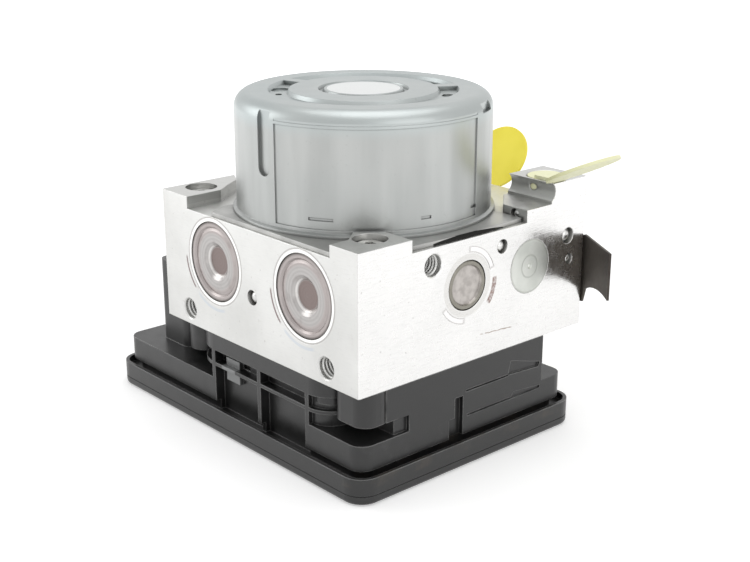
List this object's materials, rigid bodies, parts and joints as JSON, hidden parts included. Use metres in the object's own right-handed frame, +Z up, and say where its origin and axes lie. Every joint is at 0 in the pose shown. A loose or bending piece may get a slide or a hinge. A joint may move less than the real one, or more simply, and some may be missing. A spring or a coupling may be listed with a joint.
{
  "type": "abs brake module",
  "caption": "Anti-lock brake unit: machined aluminium valve block with a round pump motor on top, a black electronic controller below and yellow transport plugs.",
  "frame": {"origin": "centre of the controller cover's flat underside", "axes": "+Z up through the block to the motor, +X toward the face with the pump plug, +Y toward the face with the wheel ports"},
  "size_m": [0.1538, 0.1227, 0.1131],
  "materials": {
    "machined_aluminium": "milled, bright",
    "bright_steel": "ground",
    "pale_anodised_aluminium": "satin",
    "accumulator_steel": "pressed, plated",
    "anodised_piston": "hard anodised",
    "spring_steel": "drawn",
    "seal_rubber": "smooth",
    "plated_can": "deep drawn, satin zinc plate",
    "plated_plate": "stamped, zinc plate",
    "magnet_ferrite": "ground ferrite",
    "core_steel": "laminated",
    "copper": "enamelled copper",
    "brush_carbon": "pressed carbon",
    "sintered_bronze": "sintered",
    "contact_brass": "tinned brass",
    "holder_plastic": "glass-filled nylon",
    "coil_plastic": "moulded",
    "board_laminate": "solder resist",
    "chip_plastic": "moulded",
    "housing_plastic": "glass-filled nylon, moulded",
    "cover_plastic": "glass-filled nylon, moulded",
    "zinc_screw": "zinc plated",
    "tag_plastic": "moulded",
    "bracket_steel": "dark phosphate"
  },
  "bodies": {
    "unit": {"valve_block": "machined_aluminium", "block_ball_seals": "bright_steel", "pump_plug_right": "bright_steel", "pump_plug_left": "bright_steel", "bearing_outer_ring": "bright_steel", "inlet_valve_bodies": "bright_steel", "outlet_valve_bodies": "bright_steel", "damper_plug": "pale_anodised_aluminium", "accumulator_cover_left": "accumulator_steel", "accumulator_cover_right": "accumulator_steel", "pump_spring_right": "spring_steel", "pump_spring_left": "spring_steel", "accumulator_spring_left": "spring_steel", "accumulator_spring_right": "spring_steel", "brush_springs": "spring_steel", "valve_springs": "spring_steel", "housing_gasket": "seal_rubber", "motor_can": "plated_can", "motor_base_plate": "plated_plate", "motor_magnets": "magnet_ferrite", "coil_yokes": "core_steel", "carbon_brushes": "brush_carbon", "top_bush": "sintered_bronze", "motor_contact_pins": "contact_brass", "connector_pins": "contact_brass", "brush_holder": "holder_plastic", "valve_coils": "coil_plastic", "circuit_board": "board_laminate", "board_components": "chip_plastic", "ecu_housing": "housing_plastic", "ecu_cover": "cover_plastic", "ecu_screws": "zinc_screw", "bracket_screw": "zinc_screw", "port_plug_top": "tag_plastic", "port_plug_rear": "tag_plastic", "rear_bracket": "bracket_steel"},
    "rotor": {"motor_shaft": "bright_steel", "armature_core": "core_steel", "armature_windings": "copper", "commutator": "copper", "bearing_inner_ring": "bright_steel", "bearing_ball_row": "bright_steel", "eccentric_needles": "bright_steel", "eccentric_ring": "bright_steel"},
    "pump_piston_right": {"pump_piston_right": "bright_steel"},
    "pump_piston_left": {"pump_piston_left": "bright_steel"},
    "accumulator_piston_left": {"accumulator_piston_left": "anodised_piston", "accumulator_seal_left": "seal_rubber"},
    "accumulator_piston_right": {"accumulator_piston_right": "anodised_piston", "accumulator_seal_right": "seal_rubber"},
    "inlet_plunger_1": {"inlet_plunger_1": "bright_steel"},
    "inlet_plunger_2": {"inlet_plunger_2": "bright_steel"},
    "inlet_plunger_3": {"inlet_plunger_3": "bright_steel"},
    "inlet_plunger_4": {"inlet_plunger_4": "bright_steel"},
    "outlet_plunger_1": {"outlet_plunger_1": "bright_steel"},
    "outlet_plunger_2": {"outlet_plunger_2": "bright_steel"},
    "outlet_plunger_3": {"outlet_plunger_3": "bright_steel"},
    "outlet_plunger_4": {"outlet_plunger_4": "bright_steel"}
  },
  "joints": [
    {"name": "rotor_spin", "type": "hinge", "parent": "unit", "child": "rotor", "pos_m": [0.0166, -0.00225, 0.09], "axis": [0, 0, 1], "continuous": true},
    {"name": "pump_stroke_right", "type": "slide", "parent": "unit", "child": "pump_piston_right", "axis": [-1, 0, 0], "range_m": [0, 0.0015], "stiffness_N_per_m": 200, "springref_m": 0.0015, "deforming": ["pump_spring_right"]},
    {"name": "pump_stroke_left", "type": "slide", "parent": "unit", "child": "pump_piston_left", "axis": [1, 0, 0], "range_m": [0, 0.0015], "stiffness_N_per_m": 200, "springref_m": 0.0015, "deforming": ["pump_spring_left"]},
    {"name": "accumulator_stroke_left", "type": "slide", "parent": "unit", "child": "accumulator_piston_left", "axis": [0, -1, 0], "range_m": [0, 0.008], "stiffness_N_per_m": 300, "springref_m": -0.002, "deforming": ["accumulator_spring_left"]},
    {"name": "accumulator_stroke_right", "type": "slide", "parent": "unit", "child": "accumulator_piston_right", "axis": [0, -1, 0], "range_m": [0, 0.008], "stiffness_N_per_m": 300, "springref_m": -0.002, "deforming": ["accumulator_spring_right"]},
    {"name": "inlet_stroke_1", "type": "slide", "parent": "unit", "child": "inlet_plunger_1", "axis": [0, 0, 1], "range_m": [0, 0.00035], "stiffness_N_per_m": 100, "springref_m": -0.0005},
    {"name": "inlet_stroke_2", "type": "slide", "parent": "unit", "child": "inlet_plunger_2", "axis": [0, 0, 1], "range_m": [0, 0.00035], "stiffness_N_per_m": 100, "springref_m": -0.0005},
    {"name": "inlet_stroke_3", "type": "slide", "parent": "unit", "child": "inlet_plunger_3", "axis": [0, 0, 1], "range_m": [0, 0.00035], "stiffness_N_per_m": 100, "springref_m": -0.0005},
    {"name": "inlet_stroke_4", "type": "slide", "parent": "unit", "child": "inlet_plunger_4", "axis": [0, 0, 1], "range_m": [0, 0.00035], "stiffness_N_per_m": 100, "springref_m": -0.0005},
    {"name": "outlet_stroke_1", "type": "slide", "parent": "unit", "child": "outlet_plunger_1", "axis": [0, 0, -1], "range_m": [0, 0.00035], "stiffness_N_per_m": 100, "springref_m": -0.0005},
    {"name": "outlet_stroke_2", "type": "slide", "parent": "unit", "child": "outlet_plunger_2", "axis": [0, 0, -1], "range_m": [0, 0.00035], "stiffness_N_per_m": 100, "springref_m": -0.0005},
    {"name": "outlet_stroke_3", "type": "slide", "parent": "unit", "child": "outlet_plunger_3", "axis": [0, 0, -1], "range_m": [0, 0.00035], "stiffness_N_per_m": 100, "springref_m": -0.0005},
    {"name": "outlet_stroke_4", "type": "slide", "parent": "unit", "child": "outlet_plunger_4", "axis": [0, 0, -1], "range_m": [0, 0.00035], "stiffness_N_per_m": 100, "springref_m": -0.0005, "deforming": ["valve_springs"]}
  ]
}
